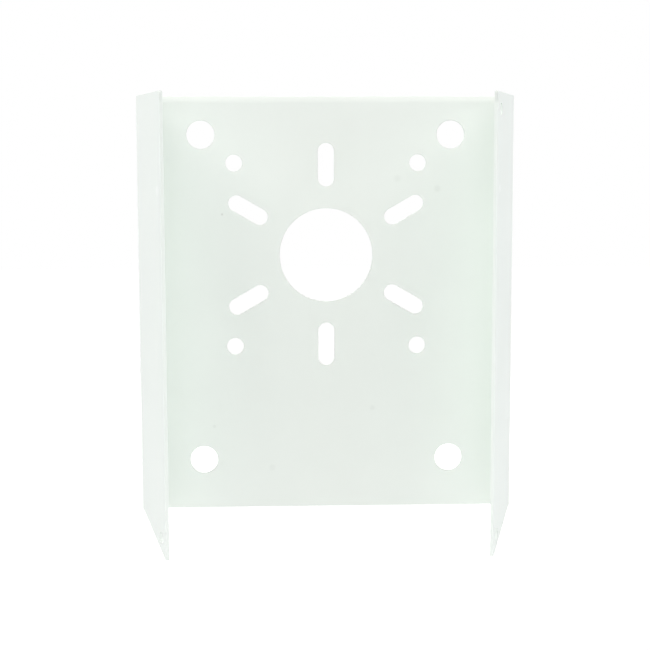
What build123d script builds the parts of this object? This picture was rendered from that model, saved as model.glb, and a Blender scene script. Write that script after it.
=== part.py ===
from build123d import *
from math import cos, radians, sin, tan
import os

# A bracket for a security camera, made from one steel sheet that was punched flat and folded three times.
# The plate is bolted up flat through its holes, and the cable runs through the large one. A flange along
# each of its long sides is folded past square, so that the two free edges lean in over the plate, and each
# flange ends in a point below the plate. A short lip along the plate's top is folded the other way.
# All sizes are in millimetres. +Z is up and +Y points straight out of the plate's flat outside face.
# The flanges reach towards -Y and the lip towards +Y. The origin is the centre of the cable hole, on the
# plate's outside face.

# The sheet and its folds
sheet = 1.5
inside_bend_radius = 1.5
flange_lean = 20.0  # degrees that each flange leans in past square
edge_round = 0.3  # the round that deburring and the coat leave on the outline's edges

# The plate
plate_width = 160.0  # across the outsides of the two folds
plate_height = 177.5
cable_hole_from_top = 67.5

# The flanges
flange_width = 40.0  # from the outside corner of the fold to the free edge, along the flange
tip_drop = 14.0  # how far a flange's free edge hangs below the plate
corner_radius = 0.8  # at the free corners of the flanges and the lip
slant_start = 1.5  # from the end of the fold to where the lower edge turns down
slant_radius = 4.0  # of that turn

# The lip along the top
lip_depth = 8.0  # that it stands out of the plate's outside face
relief_width = 2.0  # of the slot at each end of the lip, which keeps its fold apart from the flange's
relief_depth = 1.0  # that the slot runs on past the lip's fold, into the plate

# The holes in the plate
cable_hole_diameter = 40.0
corner_hole_diameter = 12.0
corner_holes_from_side = 26.75
corner_holes_from_top = 16.3
corner_holes_from_bottom = 21.2
small_hole_diameter = 7.2
small_hole_spacing = 78.5  # the side of the square that the small holes stand on
slot_width = 7.0
slot_length = 18.5  # overall
slot_circle_diameter = 77.0  # through the middles of the slots
slot_count = 6

# The holes in the flanges: one near each tip, and one at the top of the right flange
flange_hole_diameter = 5.0
flange_hole_from_edge = 7.0
flange_hole_from_top = 7.0
flange_hole_from_tip = 8.5

# Worked out from the sizes above
plate_top = cable_hole_from_top
plate_bottom = plate_top - plate_height
tip_bottom = plate_bottom - tip_drop
fold_angle = 90.0 + flange_lean
outside_bend_radius = inside_bend_radius + sheet
setback = outside_bend_radius * tan(radians(fold_angle / 2))  # from a fold's outside corner to its flat sheet
fold_x = plate_width / 2 - outside_bend_radius  # where the plate's flat ends and a flange's fold begins
fold_z = plate_top - outside_bend_radius  # where the plate's flat ends and the lip's fold begins
lean_sin, lean_cos = sin(radians(flange_lean)), cos(radians(flange_lean))

# Looking straight at the plate, with X to the right and Z up. Its normal points to the inside of the bracket.
plate_plane = Plane(origin=(0, 0, 0), x_dir=(1, 0, 0), z_dir=(0, -1, 0))

# The right flange's outside face. Local X runs from the fold to the free edge, local Y is up, and the normal
# points to the inside of the bracket.
flange_start = (fold_x + outside_bend_radius * lean_cos, -outside_bend_radius * (1 + lean_sin), 0)
flange_plane = Plane(
    origin=flange_start,
    x_dir=(-lean_sin, -lean_cos, 0),
    z_dir=(-lean_cos, lean_sin, 0),
)


def plate_holes():
    """Every opening in the plate, drawn about the cable hole."""
    spacing_x = plate_width - 2 * corner_holes_from_side
    spacing_z = plate_height - corner_holes_from_top - corner_holes_from_bottom
    middle_z = plate_top - corner_holes_from_top - spacing_z / 2
    holes = Circle(cable_hole_diameter / 2)
    holes += Pos(0, middle_z) * GridLocations(spacing_x, spacing_z, 2, 2) * Circle(corner_hole_diameter / 2)
    holes += GridLocations(small_hole_spacing, small_hole_spacing, 2, 2) * Circle(small_hole_diameter / 2)
    holes += PolarLocations(slot_circle_diameter / 2, slot_count, start_angle=90) * SlotOverall(
        slot_length, slot_width
    )
    return holes


def plate():
    """The flat between the folds, with all its holes and the relief slots at the ends of the lip."""
    width, height = 2 * fold_x, fold_z - plate_bottom
    outline = Pos(0, (fold_z + plate_bottom) / 2) * Rectangle(width, height)
    reliefs = (
        Pos(0, fold_z - relief_depth / 2)
        * GridLocations(width - relief_width, 0, 2, 1)
        * Rectangle(relief_width, relief_depth)
    )
    return extrude(plate_plane * (outline - reliefs - plate_holes()), amount=sheet)


def fold(angle, length):
    """A bent strip: it leaves the origin along +X, turns towards -Y by the angle, and runs up +Z."""
    centre = (0, -outside_bend_radius)
    outer = CenterArc(centre, outside_bend_radius, 90 - angle, angle)
    inner = CenterArc(centre, inside_bend_radius, 90 - angle, angle)
    section = make_face([outer, inner, Line(outer @ 0, inner @ 0), Line(outer @ 1, inner @ 1)])
    return extrude(section, amount=length)


def right_flange(hole_heights):
    """The right fold and its flange, square at the top, with a point at the bottom and a hole at each height."""
    flat = flange_width - setback
    outline = make_face(
        FilletPolyline(
            (0, plate_top),
            (flat, plate_top),
            (flat, tip_bottom),
            (slant_start, plate_bottom),
            (0, plate_bottom),
            radius=[0, corner_radius, corner_radius, slant_radius, 0],
            close=True,
        )
    )
    hole_x = flat - flange_hole_from_edge
    holes = Locations([(hole_x, z) for z in hole_heights]) * Circle(flange_hole_diameter / 2)
    flange = extrude(flange_plane * (outline - holes), amount=sheet)
    return flange + Pos(fold_x, 0, plate_bottom) * fold(fold_angle, plate_height)


def lip():
    """The lip along the top and its fold, as long as the relief slots leave room for."""
    half = fold_x - relief_width
    outline = make_face(
        FilletPolyline(
            (-half, inside_bend_radius),
            (-half, lip_depth),
            (half, lip_depth),
            (half, inside_bend_radius),
            radius=[0, corner_radius, corner_radius, 0],
            close=True,
        )
    )
    # The fold leaves the plate upwards and turns towards +Y.
    fold_plane = Plane(origin=(-half, -sheet, fold_z), x_dir=(0, 0, 1), z_dir=(1, 0, 0))
    return Pos(0, 0, plate_top) * extrude(outline, amount=-sheet) + fold_plane * fold(90, 2 * half)


def round_outline(body):
    """Rounds the sheet's edges along its outline, on both faces. The rims of the holes stay crisp."""
    across = body.edges().filter_by(Axis.X)
    # A round runs on along every edge that continues smoothly, so it is started from the plate's bottom
    # and from the lip's free edge.
    return fillet(across.group_by(Axis.Z)[0] + across.group_by(Axis.Y)[-1], edge_round)


tip_hole_height = tip_bottom + flange_hole_from_tip
top_hole_height = plate_top - flange_hole_from_top
right_side = right_flange([tip_hole_height, top_hole_height])
left_side = mirror(right_flange([tip_hole_height]), about=Plane.YZ)
bracket = round_outline(plate() + lip() + right_side + left_side)

os.makedirs("parts", exist_ok=True)
export_step(bracket, "parts/bracket.step")
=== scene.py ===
# %% [markdown]
# A bracket of white powder-coated steel
#
# The object is a camera bracket. It was punched out of one flat steel sheet, folded along three
# lines and then coated with white powder that was baked hard. The CAD model already has its true
# shape: the sheet, the folds, the slots and the holes. What is left for Blender is what the eye
# meets: the coat with its faint orange peel, the soft rims that a coat leaves on punched holes, the
# light, and a camera that stands where the photographer's stood.
#
# Every length here is in metres, in that frame: X to the right, Z up, and the bracket's flanges
# reach towards -Y, where the camera is.

# %% Load the frame
import bpy
from math import radians
from mathutils import Color, Euler, Matrix, Vector

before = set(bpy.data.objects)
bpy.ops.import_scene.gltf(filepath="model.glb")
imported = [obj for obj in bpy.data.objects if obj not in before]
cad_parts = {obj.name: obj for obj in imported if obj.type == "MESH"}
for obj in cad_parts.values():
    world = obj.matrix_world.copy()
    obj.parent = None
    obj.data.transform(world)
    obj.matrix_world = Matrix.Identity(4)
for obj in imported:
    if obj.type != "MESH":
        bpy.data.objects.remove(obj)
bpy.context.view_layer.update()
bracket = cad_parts["bracket"]
MM = 0.001

# %% [markdown]
# The camera
#
# The photograph looks almost straight at the plate, from a little above its middle and a little to
# its left. A product photographer stands well back with a short telephoto lens, so that the far end
# of a box doesn't shrink. A 75 mm lens on a full-frame sensor gives the same convergence of the
# long sides.
#
# The camera is placed the way it was worked out from the photograph: first its three turns, and
# then how far in front of the cable hole it stands, measured along its own axes. No lens shift is
# needed.

# %% Place the camera
LENS = 75.0  # in millimetres, as Blender counts lenses and sensors
SENSOR = 36.0
DISTANCE = 583.1 * MM
HOLE_RIGHT_OF_AXIS = 0.43 * MM
HOLE_ABOVE_AXIS = 30.27 * MM
LOOK_DOWN = radians(6.18)
LOOK_RIGHT = radians(2.25)
ROLL = radians(-0.40)


def place_camera():
    """Turns the camera and backs it away from the frame's origin, the middle of the cable hole."""
    turn = Euler((radians(90) - LOOK_DOWN, -LOOK_RIGHT, ROLL), "ZYX").to_matrix()
    data = bpy.data.cameras.new("camera")
    data.lens = LENS
    data.sensor_width = SENSOR
    camera = bpy.data.objects.new("camera", data)
    away = turn @ Vector((-HOLE_RIGHT_OF_AXIS, -HOLE_ABOVE_AXIS, DISTANCE))
    camera.matrix_world = Matrix.Translation(away) @ turn.to_4x4()
    bpy.context.scene.collection.objects.link(camera)
    bpy.context.scene.camera = camera
    return camera


camera = place_camera()
print("camera at, mm:", [round(x / MM, 1) for x in camera.location])

# %% [markdown]
# Two helpers for materials
#
# Colours are easiest to pick as the hex values that a paint program shows. Blender's shaders work
# with linear light, so one function turns the one into the other. A second one adds a node, sets it
# up and links it, which keeps each material down to a short list of steps.
#
# Blender's Mix node keeps the sockets of all its kinds of data under the same names, so its colours
# have to be reached by number. The three numbers get names here.

# %% Helpers for materials
MIX_UNDER, MIX_OVER = 6, 7  # the Mix node's colour inputs, at a factor of 0 and of 1
MIX_RESULT = 2  # its colour output


def linear(hex_value):
    """Turns an sRGB hex colour such as "F0F6F0" into linear red, green, blue and alpha."""
    parts = [int(hex_value[i : i + 2], 16) / 255 for i in (0, 2, 4)]
    return (*Color(parts).from_srgb_to_scene_linear(), 1.0)


def add_node(tree, kind, sockets=None, **settings):
    """Adds a node. Its sockets, by name or number, get a value or a link. Settings are options."""
    node = tree.nodes.new("ShaderNode" + kind)
    for name, value in settings.items():
        setattr(node, name, value)
    for key, value in (sockets or {}).items():
        if isinstance(value, bpy.types.NodeSocket):
            tree.links.new(value, node.inputs[key])
        else:
            node.inputs[key].default_value = value
    return node


def new_material(name):
    """Makes a material with an empty node tree."""
    material = bpy.data.materials.new(name)
    material.use_nodes = True
    material.node_tree.nodes.clear()
    return material


print("middle grey, linear:", [round(x, 3) for x in linear("808080")])

# %% [markdown]
# The coat
#
# Powder coat is a thermoset polyester paint. It is sprayed on as dry powder, and it melts and flows
# together in the oven. It doesn't flow out quite flat: a slow waviness stays, known as orange peel,
# with crests one to three millimetres apart and only some hundredths of a millimetre high. Under it
# lies a much finer grain from the powder itself. The finish is satin, so a light shows in it as a
# broad soft patch and never as a sharp image.
#
# It could be made as displaced geometry, but waves this low change no outline. Two layers of noise
# feed a bump instead. The peel is drawn at its real size. The grain is drawn coarser than the real
# one, which is under a tenth of a millimetre and would vanish between the pixels.
#
# White pigment hides the steel less where the coat is thin, so the white isn't quite even. A slow
# mottle mixes two whites that differ by only a few levels. The gloss wanders a little too, with how
# hot each spot was baked.
#
# Melted powder draws back from a sharp edge. That leaves the rims of the punched holes softly
# round, with a thinner and slightly greyer coat. The Bevel node gives the normal that such a round
# rim would have, and where it turns away from the true normal there is an edge, which is what the
# greyer tone follows. The tone is darker than thin coat alone makes it: it is partly painted shade.

# %% The coat over the sheet
COAT_WHITE = "F0F6F0"
COAT_THIN = "ECF2EC"
# The edge tone is the thin coat's grey, made darker still as painted shade along every edge.
COAT_EDGE_AND_SHADE = "D5DBD4"
COAT_ROUGHNESS = (0.42, 0.50)
COAT_IOR = 1.5
PEEL_SPACING = 2.2 * MM
PEEL_HEIGHT = 0.020 * MM
GRAIN_SPACING = 0.5 * MM
GRAIN_HEIGHT = 0.004 * MM
MOTTLE_SPACING = 25 * MM
BAKE_SPACING = 50 * MM
RIM_RADIUS = 0.3 * MM
FLAT_AGREES = 1.0  # the cosine between the rim's normal and the true one, on flat coat
EDGE_AGREES = 0.75  # and on an edge, where the greyer tone is at its full strength


def coat_colour(tree, place, rim):
    """Two whites in a mottle; a greyer tone, part painted shade, where the rim's normal turns away.
    """
    mottle = add_node(
        tree, "TexNoise", {"Vector": place, "Scale": 1 / MOTTLE_SPACING, "Detail": 3.0}
    )
    whites = add_node(
        tree,
        "Mix",
        {
            "Factor": mottle.outputs["Fac"],
            MIX_UNDER: linear(COAT_THIN),
            MIX_OVER: linear(COAT_WHITE),
        },
        data_type="RGBA",
    )
    surface = add_node(tree, "NewGeometry").outputs["Normal"]
    agree = add_node(tree, "VectorMath", {0: rim, 1: surface}, operation="DOT_PRODUCT")
    # The greyer edge tone: thinner coat, and painted shade along the edges.
    edge = add_node(
        tree,
        "MapRange",
        {"Value": agree.outputs["Value"], "From Min": FLAT_AGREES, "From Max": EDGE_AGREES},
    )
    toned = add_node(
        tree,
        "Mix",
        {
            "Factor": edge.outputs[0],
            MIX_UNDER: whites.outputs[MIX_RESULT],
            MIX_OVER: linear(COAT_EDGE_AND_SHADE),
        },
        data_type="RGBA",
    )
    return toned.outputs[MIX_RESULT]


print("orange peel, mm:", round(PEEL_SPACING / MM, 3), "apart,", round(PEEL_HEIGHT / MM, 3), "high")

# %% [markdown]
# Specks, pale spots and dark corners
#
# A close look at the photograph shows a handful of tiny dark nibs in the coat, which are specks of
# dust that were baked in, and a paler spot near the free edge of each flange. The top corners of
# the free edges are darker too. All of these are only a few levels away from the coat, but an
# object without any looks like plastic. Each is one row here: its place and its radius in
# millimetres, and how strongly it shows. It fades out towards its rim. The last two rows of nibs
# darken those two corners.

# %% Specks, pale spots and dark corners
COAT_DARK_SPOT = "A9AEA6"
COAT_PALE_SPOT = "F8FCF8"
SPOT_CORE = 0.3  # the share of a spot's radius inside which it doesn't fade
NIBS_AND_CORNERS = [
    ((30.6, -1.5, 32.5), 2.2, 0.08),
    ((47.8, -1.5, 28.2), 2.0, 0.10),
    ((-44.4, -1.5, 17.5), 0.7, 0.32),
    ((20.0, -1.5, -66.6), 1.6, 0.09),
    ((-48.7, -1.5, -74.2), 1.0, 0.12),
    ((-23.7, -1.5, -92.6), 2.0, 0.07),
    ((-80.0, -2.1, -95.4), 1.2, 0.20),
    # The last two rows darken the top corners of the free edges.
    ((-66.6, -37.3, 65.0), 2.5, 0.08),
    ((66.6, -37.3, 65.0), 3.0, 0.20),
]
# A paler spot near the free edge of each flange.
PALE_SPOTS = [((-69.3, -33.0, 28.0), 3.0, 0.5), ((69.6, -32.0, 28.4), 2.5, 0.7)]


def spots(tree, place, rows):
    """Rises from 0 at each row's rim to the row's strength at its core."""
    cover = 0.0
    for at, radius, strength in rows:
        middle = [length * MM for length in at]
        away = add_node(tree, "VectorMath", {0: place, 1: middle}, operation="DISTANCE")
        spot = add_node(
            tree,
            "MapRange",
            {
                "Value": away.outputs["Value"],
                "From Min": radius * MM,
                "From Max": SPOT_CORE * radius * MM,
                "To Max": strength,
            },
            interpolation_type="SMOOTHSTEP",
        )
        most = add_node(tree, "Math", {0: cover, 1: spot.outputs[0]}, operation="MAXIMUM")
        cover = most.outputs[0]
    return cover


def marked(tree, place, colour):
    """The coat's colour with the pale spots, the nibs and the dark corners laid over it."""
    for rows, tone in ((PALE_SPOTS, COAT_PALE_SPOT), (NIBS_AND_CORNERS, COAT_DARK_SPOT)):
        mix = add_node(
            tree,
            "Mix",
            {"Factor": spots(tree, place, rows), MIX_UNDER: colour, MIX_OVER: linear(tone)},
            data_type="RGBA",
        )
        colour = mix.outputs[MIX_RESULT]
    return colour


print("nibs:", len(NIBS_AND_CORNERS), "and pale_spot_rows:", len(PALE_SPOTS))


# %% Powder-coated steel
def powder_coated_steel():
    """A satin white powder coat with orange peel, baked on steel."""
    material = new_material("powder_coated_steel")
    tree = material.node_tree
    place = add_node(tree, "TexCoord").outputs["Object"]

    rim = add_node(tree, "Bevel", {"Radius": RIM_RADIUS}, samples=8).outputs["Normal"]
    colour = marked(tree, place, coat_colour(tree, place, rim))
    bake = add_node(tree, "TexNoise", {"Vector": place, "Scale": 1 / BAKE_SPACING, "Detail": 2.0})
    gloss = add_node(
        tree,
        "MapRange",
        {"Value": bake.outputs["Fac"], "To Min": COAT_ROUGHNESS[0], "To Max": COAT_ROUGHNESS[1]},
    )

    grain = add_node(tree, "TexNoise", {"Vector": place, "Scale": 1 / GRAIN_SPACING, "Detail": 1.0})
    peel = add_node(tree, "TexNoise", {"Vector": place, "Scale": 1 / PEEL_SPACING, "Detail": 1.0})
    grained = add_node(
        tree, "Bump", {"Height": grain.outputs["Fac"], "Distance": GRAIN_HEIGHT, "Normal": rim}
    )
    peeled = add_node(
        tree,
        "Bump",
        {
            "Height": peel.outputs["Fac"],
            "Distance": PEEL_HEIGHT,
            "Normal": grained.outputs["Normal"],
        },
    )

    coat = add_node(
        tree,
        "BsdfPrincipled",
        {
            "Base Color": colour,
            "Roughness": gloss.outputs[0],
            "IOR": COAT_IOR,
            "Normal": peeled.outputs["Normal"],
        },
    )
    add_node(tree, "OutputMaterial", {"Surface": coat.outputs["BSDF"]})
    return material


coat = powder_coated_steel()
for slot in bracket.material_slots:
    slot.material = coat
print("coated:", bracket.name, "with", coat.name, "in", len(bracket.material_slots), "slot")

# %% [markdown]
# The floor
#
# A pale sheet lies well below the bracket, because the real one hangs on a wall and can't stand on
# its two tips. It throws soft light up under the flanges, and it takes the bracket's shadow.
#
# In the photograph everything behind the bracket is pure white. Rather than light the floor until
# it burns out, which would also light the bracket, the floor glows a little, but only for rays from
# the camera and for reflections. The lamps make the floor brighter near the bracket than far away,
# so the glow does the opposite: it is weakest under the bracket and grows outwards. The two add up
# to just about full white everywhere, and in the bracket's shadow they stay below it, so the shadow
# is kept.

# %% Lay the floor
FLOOR_BELOW_ORIGIN = 270 * MM
FLOOR_SIDE = 8.0
FLOOR_WHITE = "E6E6E4"
GLOW_FAR_AWAY = 0.80
GLOW_UNDER_BRACKET = 0.22
GLOW_REACH = 500 * MM


def looked_at(tree):
    """Is 1 for rays from the camera, in reflections and through clear things, and otherwise 0."""
    path = add_node(tree, "LightPath")
    seen = path.outputs["Is Camera Ray"]
    for other in ("Is Glossy Ray", "Is Transmission Ray"):
        either = add_node(tree, "Math", {0: seen, 1: path.outputs[other]}, operation="MAXIMUM")
        seen = either.outputs[0]
    return seen


def floor_glow(tree):
    """The glow far away, less the lamps' light, which falls as 1 / (1 + (away / reach) ** 2)."""
    place = add_node(tree, "TexCoord").outputs["Object"]
    below_hole = (0, 0, -FLOOR_BELOW_ORIGIN)
    away = add_node(tree, "VectorMath", {0: place, 1: below_hole}, operation="DISTANCE")
    steps = add_node(
        tree, "Math", {0: away.outputs["Value"], 1: GLOW_REACH}, operation="DIVIDE"
    ).outputs[0]
    spread = add_node(tree, "Math", {0: steps, 1: steps, 2: 1.0}, operation="MULTIPLY_ADD")
    lamps = add_node(
        tree,
        "Math",
        {0: GLOW_FAR_AWAY - GLOW_UNDER_BRACKET, 1: spread.outputs[0]},
        operation="DIVIDE",
    )
    glow = add_node(tree, "Math", {0: GLOW_FAR_AWAY, 1: lamps.outputs[0]}, operation="SUBTRACT")
    return glow.outputs[0]


def pale_floor_paint():
    """Matt white paint that glows a little where it is looked at."""
    material = new_material("pale_floor_paint")
    tree = material.node_tree
    strength = add_node(
        tree, "Math", {0: looked_at(tree), 1: floor_glow(tree)}, operation="MULTIPLY"
    )
    matt = add_node(tree, "BsdfDiffuse", {"Color": linear(FLOOR_WHITE)})
    glow = add_node(tree, "Emission", {"Strength": strength.outputs[0]})
    both = add_node(tree, "AddShader", {0: matt.outputs[0], 1: glow.outputs[0]})
    add_node(tree, "OutputMaterial", {"Surface": both.outputs[0]})
    return material


def lay_floor():
    """A flat square sheet under the bracket."""
    half = FLOOR_SIDE / 2
    square = ((-half, -half), (half, -half), (half, half), (-half, half))
    corners = [(x, y, -FLOOR_BELOW_ORIGIN) for x, y in square]
    mesh = bpy.data.meshes.new("floor")
    mesh.from_pydata(corners, [], [(0, 1, 2, 3)])
    mesh.materials.append(pale_floor_paint())
    floor = bpy.data.objects.new("floor", mesh)
    bpy.context.scene.collection.objects.link(floor)
    return floor


floor = lay_floor()
print(floor.name, "at, mm:", -FLOOR_BELOW_ORIGIN / MM)

# %% [markdown]
# The white room
#
# The world lights the bracket evenly from every side, the way a light tent does. The camera and the
# reflections see it pure white instead, which gives the white background without adding light.

# %% Light the room
ROOM_LIGHT = 0.30
ROOM_WHITE = "FFFFFF"


def white_room():
    """An even world that looks pure white but lights more gently."""
    world = bpy.data.worlds.new("white_room")
    world.use_nodes = True
    tree = world.node_tree
    tree.nodes.clear()
    light = add_node(tree, "Background", {"Color": linear(ROOM_WHITE), "Strength": ROOM_LIGHT})
    white = add_node(tree, "Background", {"Color": linear(ROOM_WHITE), "Strength": 1.0})
    mix = add_node(
        tree, "MixShader", {0: looked_at(tree), 1: light.outputs[0], 2: white.outputs[0]}
    )
    add_node(tree, "OutputWorld", {"Surface": mix.outputs[0]})
    bpy.context.scene.world = world
    return world


room = white_room()
print(room.name, "lights at", ROOM_LIGHT)

# %% [markdown]
# The lamps
#
# Soft boxes stand outside the picture, as in a light tent. Two hang above, left and right. Each
# shines between the flanges on the far side of the plate and on the inside of the far flange, so
# the plate stays bright up to the folds, and together they draw the pale band along the bend at the
# top. Their light is slightly warm.
#
# Two more stand far out at the sides, and are cooler: the outsides of the flanges face them, and
# look a little bluer than the plate. A weak one stands beside the camera. It is wide, so that it
# makes no bright patch in the satin coat. A light table lies just above the floor in front and
# shines straight up, because without it the lower end of the plate and the pointed ends would be
# too dark. The last lamp stands behind. It changes nothing in the photograph's view, but without it
# the plate's back would be a dull grey.

# %% Hang the lamps
LOOK_AT = Vector((0, -15 * MM, -25 * MM))
LIGHT_TABLE_ABOVE_FLOOR = 8 * MM
STRAIGHT_UP = Vector((0, 0, 1))
WARM = "FFFDFB"
COOL = "ECEEFF"
FAINTLY_COOL = "FBF9FF"
PLAIN = "FFFFFF"


def soft_box(name, at, side, watts, tint, facing=None):
    """A square lamp that faces the bracket's middle, or a direction, and isn't seen itself."""
    data = bpy.data.lights.new(name, "AREA")
    data.shape = "SQUARE"
    data.size = side
    data.energy = watts
    data.color = linear(tint)[:3]
    lamp = bpy.data.objects.new(name, data)
    lamp.location = at
    towards = LOOK_AT - Vector(at) if facing is None else facing
    lamp.rotation_euler = towards.to_track_quat("-Z", "Y").to_euler()
    lamp.visible_camera = False
    bpy.context.scene.collection.objects.link(lamp)
    return lamp


lamps = [
    soft_box("upper_left", (-0.55, -0.25, 0.70), side=0.5, watts=4.0, tint=WARM),
    soft_box("upper_right", (0.55, -0.25, 0.70), side=0.5, watts=3.2, tint=WARM),
    soft_box("left", (-1.20, -0.50, 0), side=0.4, watts=2.45, tint=COOL),
    soft_box("right", (1.20, -0.50, 0), side=0.4, watts=2.9, tint=COOL),
    soft_box("beside_camera", (-0.05, -1.20, 0.05), side=0.55, watts=1.35, tint=FAINTLY_COOL),
    soft_box(
        "light_table",
        (0, -0.45, LIGHT_TABLE_ABOVE_FLOOR - FLOOR_BELOW_ORIGIN),
        side=0.8,
        watts=1.2,
        tint=PLAIN,
        facing=STRAIGHT_UP,
    ),
    soft_box("behind", (0, 1.20, 0.50), side=0.8, watts=4.5, tint=PLAIN),
]
print("lamps:", [lamp.name for lamp in lamps])

# %% [markdown]
# The view transform
#
# Standard is the view transform that shows a colour as it was written.

# %% Finish
bpy.context.scene.view_settings.view_transform = "Standard"
